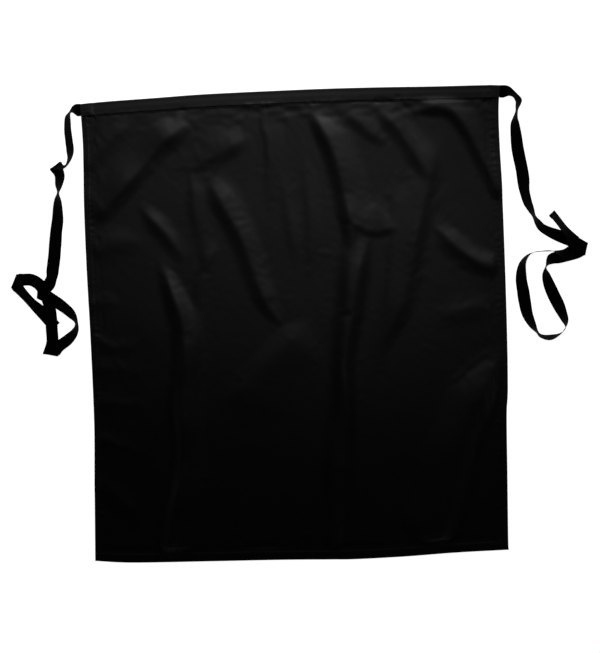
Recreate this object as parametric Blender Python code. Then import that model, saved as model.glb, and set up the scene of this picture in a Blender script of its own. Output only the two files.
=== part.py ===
"""Waist apron, lying on its back: a hemmed cloth panel, a folded waistband and two tie tapes.

Metres. +X runs along the waistband, to the right as the front of the apron is seen, +Y runs from the
bottom hem to the waistband, and +Z is up, out of the front of the cloth. The origin is at the middle of
the underside. The cloth lies on z = 0 and rises from it in the creases that a folded apron keeps.
"""

import math

import bmesh
import bpy
import numpy as np

# Driving dimensions
WIDTH = 0.846  # across the waistband
HEIGHT = 0.950  # waistband to bottom hem, at the middle
CLOTH = 0.0006  # one ply
GAP = 0.0003  # between plies
BAND_HEIGHT = 0.025
SEAM_ALLOWANCE = 0.012  # how far the panel's top edge goes up into the waistband
SIDE_HEM = 0.010
BOTTOM_HEM = 0.015
STITCH_INSET = 0.0025  # from a seam's edge to its row of stitches
BAND_END_INSET = 0.005  # the same, at the two ends of the waistband
THREAD_WIDTH = 0.0008
THREAD_HEIGHT = 0.0003
TIE_WIDTH = 0.025
TIE_CLOTH = 0.0008
TIE_TAIL = 0.020  # sewn inside each end of the waistband
TIE_HEM = 0.010  # the turned end of each tie
CELL = 0.030  # spacing of the grid that every ply follows

PLY = CLOTH + GAP
CLOTH_BLACK = (0.013, 0.013, 0.015)
TAPE_BLACK = (0.008, 0.008, 0.009)
THREAD_BLACK = (0.016, 0.016, 0.018)

# The outline, as how far each edge bows out from the straight line between its two corners: (share of
# the way along it, bow). The side edges run from the waistband down.
CORNERS = {"top_left": (-0.423, 0.460), "top_right": (0.423, 0.470),
           "bottom_left": (-0.423, -0.461), "bottom_right": (0.411, -0.466)}
TOP_BOW = [(0.0, 0.0), (0.06, 0.003), (0.18, 0.006), (0.30, 0.009), (0.48, 0.0095), (0.60, 0.009),
           (0.72, 0.007), (0.84, 0.004), (0.96, 0.002), (1.0, 0.0)]
BOTTOM_BOW = [(0.0, 0.0), (0.09, 0.0055), (0.27, 0.007), (0.45, 0.008), (0.57, 0.010), (0.63, 0.0107),
              (0.75, 0.008), (0.87, 0.003), (1.0, 0.0)]
LEFT_BOW = [(0.0, 0.0), (0.1, -0.003), (0.22, -0.001), (0.36, -0.002), (0.5, -0.005), (0.69, -0.007),
            (0.82, -0.004), (1.0, 0.0)]
RIGHT_BOW = [(0.0, 0.0), (0.08, -0.003), (0.27, 0.002), (0.5, 0.005), (0.65, 0.0045), (0.71, 0.001),
             (0.84, 0.0), (0.98, -0.001), (1.0, 0.0)]

# The creases: (crest line from its upper end, height, width of its flank on the left of someone who
# walks down it, width on the right).
CREASES = {
    "left_shoulder": ([(-0.180, 0.434), (-0.225, 0.399), (-0.265, 0.369), (-0.300, 0.329), (-0.335, 0.294),
                       (-0.370, 0.259), (-0.415, 0.222)], 0.0085, 0.030, 0.060),
    "left_corner": ([(-0.300, 0.432), (-0.332, 0.411), (-0.367, 0.381), (-0.397, 0.351), (-0.418, 0.316)],
                    0.0032, 0.024, 0.036),
    "left_brow": ([(-0.080, 0.382), (-0.101, 0.374), (-0.140, 0.358), (-0.177, 0.338), (-0.260, 0.322)],
                  0.0050, 0.026, 0.060),
    "left_fan_outer": ([(-0.312, 0.262), (-0.285, 0.222), (-0.262, 0.192), (-0.239, 0.155), (-0.218, 0.115)],
                       0.0050, 0.032, 0.026),
    "left_fan_inner": ([(-0.180, 0.325), (-0.150, 0.264), (-0.127, 0.225), (-0.108, 0.185), (-0.093, 0.135),
                        (-0.077, 0.085), (-0.058, 0.035), (-0.025, -0.010)], 0.0068, 0.038, 0.028),
    "left_long": ([(-0.284, 0.160), (-0.264, 0.105), (-0.247, 0.060), (-0.235, 0.020), (-0.231, -0.030),
                   (-0.234, -0.100), (-0.241, -0.200), (-0.247, -0.300), (-0.262, -0.370), (-0.280, -0.440)],
                  0.0110, 0.050, 0.032),
    "middle_upper": ([(0.043, 0.440), (0.076, 0.375), (0.090, 0.315), (0.104, 0.250), (0.113, 0.195),
                      (0.116, 0.120)], 0.0090, 0.060, 0.028),
    "middle_lower": ([(0.108, 0.260), (0.113, 0.195), (0.109, 0.130), (0.103, 0.070), (0.093, 0.000),
                      (0.083, -0.100), (0.073, -0.180), (0.064, -0.260), (0.060, -0.360), (0.056, -0.440)],
                     0.0070, 0.040, 0.030),
    "middle_second": ([(0.166, 0.215), (0.138, 0.125), (0.123, 0.075), (0.112, 0.020), (0.103, -0.030),
                       (0.095, -0.100), (0.092, -0.200), (0.083, -0.300), (0.072, -0.400)],
                      0.0065, 0.028, 0.030),
    "right_brow_small": ([(0.106, 0.440), (0.143, 0.408), (0.163, 0.384), (0.194, 0.358)],
                         0.0036, 0.034, 0.024),
    "right_brow": ([(0.168, 0.438), (0.204, 0.398), (0.225, 0.368), (0.245, 0.335), (0.276, 0.270)],
                   0.0052, 0.046, 0.024),
    "right_shoulder": ([(0.240, 0.414), (0.292, 0.425), (0.328, 0.416), (0.356, 0.378), (0.376, 0.338),
                        (0.396, 0.297), (0.418, 0.240)], 0.0066, 0.044, 0.024),
    "right_long": ([(0.300, 0.390), (0.276, 0.290), (0.261, 0.240), (0.246, 0.180), (0.231, 0.110),
                    (0.211, 0.055), (0.186, -0.020), (0.150, -0.120)], 0.0070, 0.032, 0.060),
    "right_tuck": ([(0.268, 0.205), (0.315, 0.160), (0.345, 0.135), (0.375, 0.115), (0.416, 0.104)],
                   0.0056, 0.036, 0.032),
    "right_knee": ([(0.420, -0.045), (0.385, -0.115), (0.358, -0.165), (0.335, -0.220), (0.310, -0.290),
                    (0.285, -0.370), (0.265, -0.440)], 0.0110, 0.047, 0.070),
    "lap": ([(0.034, 0.014), (-0.026, -0.046), (-0.074, -0.094), (-0.108, -0.126), (-0.175, -0.155)],
            0.0045, 0.090, 0.046),
}
CREASE_ENDS = 0.05  # a crease rises over this length at each end

# The ties' routes: ("lie", x, y, tilt in degrees, height of the lower edge), and ("fold", x, y, tilt, height,
# direction of the crease in degrees). At a fold the tape turns over the crease and lies on itself.
LEFT_TIE = [
    ("lie", -0.4242, 0.4480, 0, 0.0018), ("lie", -0.4290, 0.4480, 3, 0.0016),
    ("lie", -0.4350, 0.4476, 36, 0.0), ("lie", -0.4418, 0.4436, 70, 0.0), ("lie", -0.4472, 0.435, 58, 0.0),
    ("lie", -0.4483, 0.426, 52, 0.0), ("lie", -0.4485, 0.407, 48, 0.0),
    ("lie", -0.447, 0.389, 46, 0.0), ("lie", -0.445, 0.366, 46, 0.0), ("lie", -0.447, 0.349, 62, 0.0),
    ("lie", -0.457, 0.334, 70, 0.0), ("fold", -0.476, 0.337, 40, 0.0, 42),
    ("lie", -0.468, 0.316, 46, 0.0), ("lie", -0.470, 0.296, 66, 0.0), ("lie", -0.4714, 0.282, 90, 0.0),
    ("lie", -0.4725, 0.268, 67, 0.0), ("lie", -0.4735, 0.252, 50, 0.0), ("lie", -0.475, 0.228, 34, 0.0),
    ("lie", -0.479, 0.204, 25, 0.0), ("lie", -0.482, 0.178, 20, 0.0), ("lie", -0.485, 0.154, 12, 0.0),
    ("lie", -0.489, 0.128, 12, 0.0), ("lie", -0.491, 0.111, 40, 0.0), ("lie", -0.500, 0.096, 8, 0.0),
    ("fold", -0.521, 0.086, 0, 0.0, 84), ("lie", -0.497, 0.072, 10, 0.002),
    ("lie", -0.473, 0.055, 25, 0.0), ("lie", -0.454, 0.038, 38, 0.0), ("lie", -0.4435, 0.020, 68, 0.0),
    ("lie", -0.447, 0.003, 50, 0.0), ("lie", -0.462, -0.013, 25, 0.0), ("lie", -0.482, -0.027, 15, 0.0),
    ("fold", -0.4995, -0.043, 0, 0.0, -12), ("lie", -0.494, -0.017, 8, 0.003),
    ("lie", -0.494, 0.007, 8, 0.0055), ("lie", -0.4945, 0.031, 10, 0.006),
    ("lie", -0.497, 0.055, 12, 0.0065), ("lie", -0.504, 0.078, 12, 0.0068),
    ("lie", -0.515, 0.098, 14, 0.0055), ("lie", -0.532, 0.109, 12, 0.001), ("lie", -0.550, 0.110, 8, 0.0),
    ("fold", -0.568, 0.108, 0, 0.0, 65), ("lie", -0.555, 0.089, 30, 0.0),
    ("lie", -0.5325, 0.063, 36, 0.0), ("lie", -0.5095, 0.039, 9, 0.0), ("lie", -0.488, 0.013, 3, 0.0018)]
RIGHT_TIE = [
    ("lie", 0.4242, 0.4575, 0, 0.0018), ("lie", 0.4295, 0.4574, 2, 0.0016),
    ("lie", 0.4365, 0.4560, 34, 0.0), ("lie", 0.4440, 0.4530, 64, 0.0), ("lie", 0.4520, 0.4470, 76, 0.0),
    ("lie", 0.4590, 0.4366, 68, 0.0), ("lie", 0.4574, 0.4276, 74, 0.0), ("lie", 0.4541, 0.4158, 86, 0.0),
    ("lie", 0.4504, 0.4009, 73, 0.0), ("lie", 0.450, 0.391, 55, 0.0),
    ("lie", 0.452, 0.368, 34, 0.0), ("lie", 0.454, 0.345, 23, 0.0), ("lie", 0.458, 0.323, 10, 0.0),
    ("lie", 0.462, 0.300, 5, 0.0), ("lie", 0.464, 0.278, 20, 0.0), ("lie", 0.465, 0.256, 43, 0.0),
    ("lie", 0.470, 0.233, 54, 0.0), ("lie", 0.4765, 0.217, 68, 0.0), ("lie", 0.4823, 0.203, 83, 0.0),
    ("lie", 0.489, 0.191, 68, 0.0), ("lie", 0.4975, 0.180, 57, 0.0), ("lie", 0.515, 0.170, 42, 0.0),
    ("lie", 0.536, 0.161, 18, 0.0), ("lie", 0.5595, 0.151, 3, 0.0), ("fold", 0.5865, 0.1345, 0, 0.0, 76),
    ("lie", 0.560, 0.126, 5, 0.0016), ("lie", 0.533, 0.120, 8, 0.001), ("lie", 0.514, 0.116, 32, 0.0),
    ("lie", 0.503, 0.102, 78, 0.0), ("lie", 0.503, 0.086, 43, 0.0), ("lie", 0.508, 0.068, 20, 0.0),
    ("lie", 0.517, 0.046, 2, 0.0), ("lie", 0.526, 0.026, 5, 0.0), ("lie", 0.533, 0.007, 30, 0.0),
    ("lie", 0.538, -0.009, 50, 0.0), ("lie", 0.537, -0.024, 83, 0.0), ("lie", 0.526, -0.035, 78, 0.0),
    ("lie", 0.508, -0.041, 63, 0.0), ("lie", 0.490, -0.038, 75, 0.0), ("lie", 0.481, -0.030, 86, 0.0),
    ("lie", 0.472, -0.015, 62, 0.0), ("lie", 0.463, 0.007, 38, 0.0), ("lie", 0.459, 0.032, 16, 0.0),
    ("lie", 0.456, 0.056, 22, 0.0), ("lie", 0.453, 0.078, 33, 0.0), ("lie", 0.454, 0.101, 56, 0.0),
    ("lie", 0.460, 0.117, 74, 0.0), ("lie", 0.473, 0.129, 88, 0.0), ("lie", 0.494, 0.1325, 90, 0.001),
    ("lie", 0.518, 0.1315, 85, 0.004), ("lie", 0.542, 0.125, 30, 0.0055),
    ("fold", 0.567, 0.138, 0, 0.0050, 72), ("lie", 0.558, 0.156, 22, 0.006),
    ("lie", 0.543, 0.175, 45, 0.0035), ("lie", 0.530, 0.194, 48, 0.0), ("lie", 0.518, 0.209, 45, 0.0021)]
FOLD_REACH = 0.0025  # from a fold's crease to where the tape is flat again
FOLD_RADIUS = 0.0009  # of the tape's middle as it turns over the crease
TIE_STEP = 0.012
FLOOR_CLEARANCE = 0.0001


def clear_scene():
    for obj in list(bpy.data.objects):
        bpy.data.objects.remove(obj, do_unlink=True)


def make_material(name, colour, roughness):
    material = bpy.data.materials.new(name)
    material.use_nodes = True
    shader = material.node_tree.nodes["Principled BSDF"]
    shader.inputs["Base Color"].default_value = (*colour, 1.0)
    shader.inputs["Roughness"].default_value = roughness
    shader.inputs["Metallic"].default_value = 0.0
    return material


def solid_between(name, under, over, material, parent=None, origin=(0.0, 0.0, 0.0), backward=0):
    """A closed solid between two grids of points with the same rows and columns, closed along the rim.

    The first `backward` rows of cells run against the cloth's grid, so they are split along their other
    diagonal, as the cells of the ply beside them are.
    """
    rows, cols = under.shape[:2]
    points = np.concatenate([under.reshape(-1, 3), over.reshape(-1, 3)]) - np.array(origin)
    top = rows * cols

    def at(i, j):
        return i * cols + j

    faces = []
    for i in range(rows - 1):
        for j in range(cols - 1):
            a, b, c, d = at(i, j), at(i + 1, j), at(i + 1, j + 1), at(i, j + 1)
            if i < backward:
                a, b, c, d = b, c, d, a
            faces += [(top + a, top + b, top + c), (top + a, top + c, top + d), (a, c, b), (a, d, c)]
    rim = [at(i, 0) for i in range(rows)] + [at(rows - 1, j) for j in range(1, cols)]
    rim += [at(i, cols - 1) for i in range(rows - 2, -1, -1)] + [at(0, j) for j in range(cols - 2, 0, -1)]
    for a, b in zip(rim, rim[1:] + rim[:1]):
        faces += [(a, b, top + b), (a, top + b, top + a)]
    mesh = bpy.data.meshes.new(name)
    mesh.from_pydata(points.tolist(), [], faces)
    build = bmesh.new()
    build.from_mesh(mesh)
    bmesh.ops.recalc_face_normals(build, faces=build.faces)
    build.to_mesh(mesh)
    build.free()
    mesh.materials.append(material)
    mesh.shade_smooth()
    mesh.set_sharp_from_angle(angle=math.radians(40))
    obj = bpy.data.objects.new(name, mesh)
    obj.parent = parent
    if parent is None:
        obj.location = origin
    bpy.context.collection.objects.link(obj)
    return obj


def smoothstep(t):
    t = np.clip(t, 0.0, 1.0)
    return t * t * (3.0 - 2.0 * t)


def curve_through(points, steps):
    """A smooth curve through the points, with so many steps between one point and the next."""
    p = np.array(points, float)
    p = np.concatenate([[2 * p[0] - p[1]], p, [2 * p[-1] - p[-2]]])
    t = (np.arange(steps) / steps)[:, None]
    runs = []
    for k in range(1, len(p) - 2):
        a, b, c, d = p[k - 1 : k + 3]
        bend = (2 * a - 5 * b + 4 * c - d) * t**2
        swing = (3 * b - a - 3 * c + d) * t**3
        runs.append(0.5 * (2 * b + (c - a) * t + bend + swing))
    return np.concatenate(runs + [p[-2:-1]])


def edge_line(start, end, bow, shares):
    """Points of one edge of the outline, at shares of its length. The bow is to the left of start-to-end."""
    start, end = np.array(start), np.array(end)
    along = end - start
    left = np.array([-along[1], along[0]]) / np.linalg.norm(along)
    shape = curve_through(bow, 8)
    out = np.interp(shares, shape[:, 0], shape[:, 1])
    return start + shares[:, None] * along + out[:, None] * left


def cloth_plan(us, vs):
    """(x, y) of the cloth at shares us of its width and vs of its height, from the waistband down."""
    us, vs = np.array(us), np.array(vs)
    tl, tr = np.array(CORNERS["top_left"]), np.array(CORNERS["top_right"])
    bl, br = np.array(CORNERS["bottom_left"]), np.array(CORNERS["bottom_right"])
    top = edge_line(tl, tr, TOP_BOW, us)[None, :, :]
    bottom = edge_line(bl, br, [(share, -bow) for share, bow in BOTTOM_BOW], us)[None, :, :]
    left = edge_line(tl, bl, [(share, -bow) for share, bow in LEFT_BOW], vs)[:, None, :]
    right = edge_line(tr, br, RIGHT_BOW, vs)[:, None, :]
    u, v = us[None, :, None], vs[:, None, None]
    corners = (1 - u) * (1 - v) * tl + u * (1 - v) * tr + (1 - u) * v * bl + u * v * br
    return (1 - v) * top + v * bottom + (1 - u) * left + u * right - corners


def crease_height(xy):
    """How far the creases lift the cloth at these points."""
    height = np.zeros(xy.shape[:-1])
    for line, rise, left_flank, right_flank in CREASES.values():
        crest = curve_through(line, 4)
        steps = np.diff(crest, axis=0)
        lengths = np.linalg.norm(steps, axis=1)
        starts = np.concatenate([[0.0], np.cumsum(lengths)])
        nearest = np.full(height.shape, np.inf)
        side = np.zeros(height.shape)
        along = np.zeros(height.shape)
        for corner, step, length, start in zip(crest, steps, lengths, starts):
            offset = xy - corner
            share = np.clip((offset @ step) / length**2, 0.0, 1.0)
            away = offset - share[..., None] * step
            distance = np.linalg.norm(away, axis=-1)
            closer = distance < nearest
            nearest = np.where(closer, distance, nearest)
            side = np.where(closer, step[0] * away[..., 1] - step[1] * away[..., 0], side)
            along = np.where(closer, start + share * length, along)
        reach = nearest / np.where(side > 0, left_flank, right_flank)
        profile = np.clip(1.0 - reach**2, 0.0, 1.0) ** 2
        ends = smoothstep(along / CREASE_ENDS) * smoothstep((starts[-1] - along) / CREASE_ENDS)
        height += rise * profile * ends
    return height


def grid_lines(length, first, last):
    """Shares of the length at the given distances from its two ends, with even cells between them."""
    cells = max(2, round((length - first[-1] - last[-1]) / CELL))
    inner = np.linspace(first[-1], length - last[-1], cells + 1)
    return np.concatenate([first[:-1], inner, [length - d for d in reversed(last[:-1])]]) / length


U_EDGE = [0.0, BAND_END_INSET, SIDE_HEM - STITCH_INSET, SIDE_HEM, TIE_TAIL]
U_LINES = grid_lines(WIDTH, U_EDGE, U_EDGE)
V_LINES = grid_lines(HEIGHT, [0.0, STITCH_INSET, SEAM_ALLOWANCE, BAND_HEIGHT - STITCH_INSET, BAND_HEIGHT],
                     [0.0, BOTTOM_HEM - STITCH_INSET, BOTTOM_HEM])


def line_at(lines, length, distance):
    return int(np.argmin(abs(lines * length - distance)))


V_ALLOWANCE = line_at(V_LINES, HEIGHT, SEAM_ALLOWANCE)
V_BAND = line_at(V_LINES, HEIGHT, BAND_HEIGHT)
V_HEM = line_at(V_LINES, HEIGHT, HEIGHT - BOTTOM_HEM)
U_END = line_at(U_LINES, WIDTH, BAND_END_INSET)
U_HEM = line_at(U_LINES, WIDTH, SIDE_HEM)
U_TAIL = line_at(U_LINES, WIDTH, TIE_TAIL)


def panel_rest():
    """Height of the panel's underside over the whole grid, without creases: raised onto the hems and,
    inside the waistband, onto its back ply."""
    rest = np.zeros((len(V_LINES), len(U_LINES)))
    rest[: V_BAND + 1] = PLY
    rest[:, : U_HEM + 1] = PLY
    rest[:, -U_HEM - 1 :] = PLY
    rest[V_HEM:] = PLY
    return rest


def band_front_rest():
    """Height of the front ply's underside: over the panel, and over the ties' tails at the two ends."""
    rest = np.full(len(U_LINES), 2 * PLY)
    rest[: U_TAIL + 1] += TIE_CLOTH + GAP
    rest[-U_TAIL - 1 :] += TIE_CLOTH + GAP
    return rest


def cloth_points():
    """The whole grid on the flat, with the creases' height as z."""
    plan = cloth_plan(U_LINES, V_LINES)
    return np.concatenate([plan, crease_height(plan)[..., None]], axis=-1)


def raised(points, height):
    out = points.copy()
    out[..., 2] += height
    return out


def ply(name, points, rest, material, thickness=CLOTH):
    return solid_between(name, raised(points, rest), raised(points, rest + thickness), material)


def make_waistband(points, front_rest, material):
    """One strip folded over the panel's top edge: front ply, turn, back ply."""
    inner, outer = [], []
    rows = range(V_BAND, 0, -1)
    for i in rows:
        inner.append(raised(points[i], front_rest))
        outer.append(raised(points[i], front_rest + CLOTH))
    half = (front_rest - CLOTH) / 2.0  # from the middle of the turn to the strip's inner face
    middle = front_rest - half
    for degrees in (60, 0, -60):
        up, back = math.sin(math.radians(degrees)), math.cos(math.radians(degrees))
        for side, radius in ((inner, half), (outer, half + CLOTH)):
            turn = points[1] + (points[0] - points[1]) * 0.5
            turn[:, 1] += radius * back * 0.5
            turn[:, 2] += middle + radius * up
            side.append(turn)
    for i in reversed(rows):
        inner.append(raised(points[i], CLOTH))
        outer.append(raised(points[i], 0.0))
    return solid_between("waistband", np.array(inner), np.array(outer), material, backward=len(rows) - 1)


def thread(name, line, toward, material, surface, parent=None, origin=(0.0, 0.0, 0.0)):
    """A row of stitches as one low ridge along the line, just clear of the ply below it. `toward` lies in
    the ply, across the row, and `surface` is the ply's outward direction."""
    half = np.array(toward) * THREAD_WIDTH / 2
    lift = np.array(surface)
    under = np.stack([line - half, line + half], axis=1) + lift * GAP
    return solid_between(name, under, under + lift * THREAD_HEIGHT, material, parent, origin)


def pulled_in(line, distance):
    """The line with its two ends brought in by this distance."""
    out = line.copy()
    for end, inner in ((0, 1), (-1, -2)):
        step = line[inner] - line[end]
        out[end] += step * distance / np.linalg.norm(step)
    return out


def make_cloth_stitching(points, rest, front_rest, material):
    """Two rows along the waistband, one at each of its ends, and one along each hem."""
    across_band, along_band, up = (0.0, 1.0, 0.0), (1.0, 0.0, 0.0), (0.0, 0.0, 1.0)
    on_band = raised(points, front_rest + CLOTH)
    on_panel = raised(points, rest + CLOTH)
    ends = slice(U_END, len(U_LINES) - U_END)
    thread("waistband_top_stitching", on_band[1, ends], across_band, material, up)
    thread("waistband_seam_stitching", on_band[V_BAND - 1, ends], across_band, material, up)
    body = slice(V_BAND, V_HEM + 1)
    for side, end, hem in (("left", U_END, U_HEM - 1), ("right", -U_END - 1, -U_HEM)):
        end_row = pulled_in(on_band[1:V_BAND, end], 2 * THREAD_WIDTH)
        thread(f"{side}_band_end_stitching", end_row, along_band, material, up)
        hem_row = pulled_in(on_panel[body, hem], THREAD_WIDTH)
        thread(f"{side}_side_hem_stitching", hem_row, along_band, material, up)
    hem_row = on_panel[V_HEM + 1, U_HEM - 1 : len(U_LINES) - U_HEM + 1]
    thread("bottom_hem_stitching", hem_row, across_band, material, up)


def route_stations(route):
    """Stations of a tie: plan position, height of its lower edge, direction across, tilt, half-width, and
    whether it is on a fold."""
    plan = np.array([mark[1:3] for mark in route])
    stations = []
    across = None
    for k, (kind, x, y, tilt, lift, *crease_direction) in enumerate(route):
        here = np.array([x, y])
        ahead = plan[min(k + 1, len(plan) - 1)] - here
        behind = here - plan[max(k - 1, 0)]
        ahead = behind if k == len(plan) - 1 else ahead
        behind = ahead if k == 0 else behind
        ahead, behind = ahead / np.linalg.norm(ahead), behind / np.linalg.norm(behind)
        if kind == "fold":
            yaw, half = math.radians(crease_direction[0]), TIE_WIDTH / 2
            half /= abs(behind[0] * math.sin(yaw) - behind[1] * math.cos(yaw))
            shifts = ((-behind, 0.0), (0 * behind, FOLD_RADIUS), (ahead, 2 * FOLD_RADIUS))
            places = [(here + FOLD_REACH * shift, up + lift, math.radians(tilt), half)
                      for shift, up in shifts]
        else:
            forward = ahead + behind
            if k and route[k - 1][0] == "fold":
                forward = ahead + behind * 0.5
            yaw = math.atan2(forward[0], -forward[1])
            places = [(here, lift, math.radians(tilt), TIE_WIDTH / 2)]
        if across is not None:
            yaw += math.pi * round((across - yaw) / math.pi)
        across = yaw
        for place, up, tilt, half in places:
            stations.append([place[0], place[1], up, yaw, tilt, half, kind == "fold"])
    return stations


def tape(route):
    """Grids of the tape's two faces along its route: rows along the tape, and three points across it."""
    stations = np.array(route_stations(route), float)
    keys, folds = stations[:, :6], stations[:, 6] > 0
    fine = curve_through(keys, 8)
    rows = [fine[0]]
    for k in range(len(keys) - 1):
        length = np.linalg.norm(keys[k + 1, :3] - keys[k, :3])
        count = 1 if folds[k] and folds[k + 1] else max(1, round(length / TIE_STEP))
        rows += [fine[round(8 * k + 8 * n / count)] for n in range(1, count + 1)]
    rows = np.array(rows)
    yaw, tilt, half = rows[:, 3], rows[:, 4], rows[:, 5]
    height = np.maximum(rows[:, 2], 0.0) + half * abs(np.sin(tilt)) + TIE_CLOTH / 2 + FLOOR_CLEARANCE
    centre = np.stack([rows[:, 0], rows[:, 1], height], axis=1)
    across = np.stack([np.cos(yaw) * np.cos(tilt), np.sin(yaw) * np.cos(tilt), np.sin(tilt)], axis=1)
    forward = np.gradient(centre, axis=0)
    face = np.cross(forward, across)
    face /= np.linalg.norm(face, axis=1)[:, None]
    shares = np.array([-1.0, 0.0, 1.0])[None, :, None]
    middle = centre[:, None, :] + across[:, None, :] * half[:, None, None] * shares
    offset = face[:, None, :] * TIE_CLOTH / 2
    return middle - offset, middle + offset


def make_tie_end(side, under, over, hinge, axis, materials):
    """The turned end of a tie, on the tape's under face, and its row of stitches on the other face."""
    step = over[-1] - over[-2]
    share = TIE_HEM / np.linalg.norm(step[1])
    surface = (over[-1, 1] - under[-1, 1]) / TIE_CLOTH
    face = np.stack([under[-1] - share * (under[-1] - under[-2]), under[-1]]) - surface * GAP
    turned = face - surface * TIE_CLOTH
    solid_between(f"{side}_tie_end_hem", turned, face, materials["tape"], hinge, axis)
    forward = step[1] / np.linalg.norm(step[1])
    row = over[-1] - share * step + forward * STITCH_INSET
    row = pulled_in(row, THREAD_WIDTH)
    thread(f"{side}_tie_end_stitching", row, forward, materials["thread"], surface, hinge, axis)


def make_tie(side, route, points, materials):
    """One tie on its fold line at the end of the waistband, and its tail sewn inside the waistband."""
    end = points[: V_BAND + 1, 0 if side == "left" else -1]
    axis = (route[0][1], float(end[:, 1].mean()), 2 * PLY + TIE_CLOTH / 2)
    hinge = bpy.data.objects.new(f"{side}_tie_fold", None)
    hinge.location = axis
    bpy.context.collection.objects.link(hinge)
    under, over = tape(route)
    solid_between(f"{side}_tie", under, over, materials["tape"], hinge, axis)
    if under[-1, 1, 2] > over[-1, 1, 2]:
        under, over = over, under
    make_tie_end(side, under, over, hinge, axis, materials)
    cols = slice(0, U_TAIL + 1) if side == "left" else slice(-U_TAIL - 1, None)
    ply(f"{side}_tie_tail", points[1 : V_BAND + 1, cols], 2 * PLY, materials["tape"], TIE_CLOTH)


def main():
    clear_scene()
    materials = {
        "cloth": make_material("black_twill", CLOTH_BLACK, 0.85),
        "tape": make_material("black_tape", TAPE_BLACK, 0.8),
        "thread": make_material("black_thread", THREAD_BLACK, 0.6),
    }
    points = cloth_points()
    rest = panel_rest()
    ply("panel", points[V_ALLOWANCE:], rest[V_ALLOWANCE:], materials["cloth"])
    side_rows = slice(V_BAND, V_HEM)
    ply("left_side_hem", points[side_rows, : U_HEM + 1], 0.0, materials["cloth"])
    ply("right_side_hem", points[side_rows, -U_HEM - 1 :], 0.0, materials["cloth"])
    ply("bottom_hem", points[V_HEM:], 0.0, materials["cloth"])
    front_rest = band_front_rest()
    make_waistband(points, front_rest, materials["cloth"])
    make_cloth_stitching(points, rest, front_rest, materials["thread"])
    make_tie("left", LEFT_TIE, points, materials)
    make_tie("right", RIGHT_TIE, points, materials)


main()
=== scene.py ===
"""The look of the waist apron: creased black twill, folded waistband, sewn hems and two tape ties."""

import math
import random

import bmesh
import bpy
import numpy as np
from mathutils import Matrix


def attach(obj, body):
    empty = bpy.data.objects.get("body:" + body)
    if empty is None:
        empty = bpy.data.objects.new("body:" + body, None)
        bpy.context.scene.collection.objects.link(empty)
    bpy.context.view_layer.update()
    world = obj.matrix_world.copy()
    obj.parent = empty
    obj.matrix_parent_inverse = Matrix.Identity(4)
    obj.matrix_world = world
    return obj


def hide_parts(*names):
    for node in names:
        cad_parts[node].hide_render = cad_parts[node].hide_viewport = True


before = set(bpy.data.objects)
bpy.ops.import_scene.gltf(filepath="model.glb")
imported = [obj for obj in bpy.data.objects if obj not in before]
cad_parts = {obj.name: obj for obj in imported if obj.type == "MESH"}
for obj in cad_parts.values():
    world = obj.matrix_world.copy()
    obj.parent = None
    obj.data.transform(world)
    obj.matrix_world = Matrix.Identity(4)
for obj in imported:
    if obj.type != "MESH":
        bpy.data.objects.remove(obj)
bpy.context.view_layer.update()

# Sizes, in metres, as in the CAD
WIDTH = 0.846
HEIGHT = 0.950
CLOTH = 0.0006
GAP = 0.0003
PLY = CLOTH + GAP
BAND_HEIGHT = 0.025
SEAM_ALLOWANCE = 0.012
SIDE_HEM = 0.010
BOTTOM_HEM = 0.015
STITCH_INSET = 0.0025
BAND_END_INSET = 0.005
TIE_WIDTH = 0.025
TIE_CLOTH = 0.0008
TIE_TAIL = 0.020
TIE_HEM = 0.010
FLOOR_CLEARANCE = 0.0001
FOLD_REACH = 0.0025
FOLD_RADIUS = 0.0009

# Sizes that only the look needs
CELL = 0.0034  # of the cloth's mesh
FINE_CELL = 0.00125  # of the cloth's mesh along hems and waistband
TIE_CELL = 0.0022
THREAD_RADIUS = 0.00022
STITCH_PITCH = 0.0030
STITCH_LENGTH = 0.0026

CORNERS = {"top_left": (-0.423, 0.460), "top_right": (0.423, 0.470),
           "bottom_left": (-0.423, -0.461), "bottom_right": (0.411, -0.466)}
TOP_BOW = [(0.0, 0.0), (0.06, 0.003), (0.18, 0.006), (0.30, 0.009), (0.48, 0.0095), (0.60, 0.009),
           (0.72, 0.007), (0.84, 0.004), (0.96, 0.002), (1.0, 0.0)]
BOTTOM_BOW = [(0.0, 0.0), (0.09, 0.0055), (0.27, 0.007), (0.45, 0.008), (0.57, 0.010), (0.63, 0.0107),
              (0.75, 0.008), (0.87, 0.003), (1.0, 0.0)]
LEFT_BOW = [(0.0, 0.0), (0.1, -0.003), (0.22, -0.001), (0.36, -0.002), (0.5, -0.005), (0.69, -0.007),
            (0.82, -0.004), (1.0, 0.0)]
RIGHT_BOW = [(0.0, 0.0), (0.08, -0.003), (0.27, 0.002), (0.5, 0.005), (0.65, 0.0045), (0.71, 0.001),
             (0.84, 0.0), (0.98, -0.001), (1.0, 0.0)]

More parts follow.
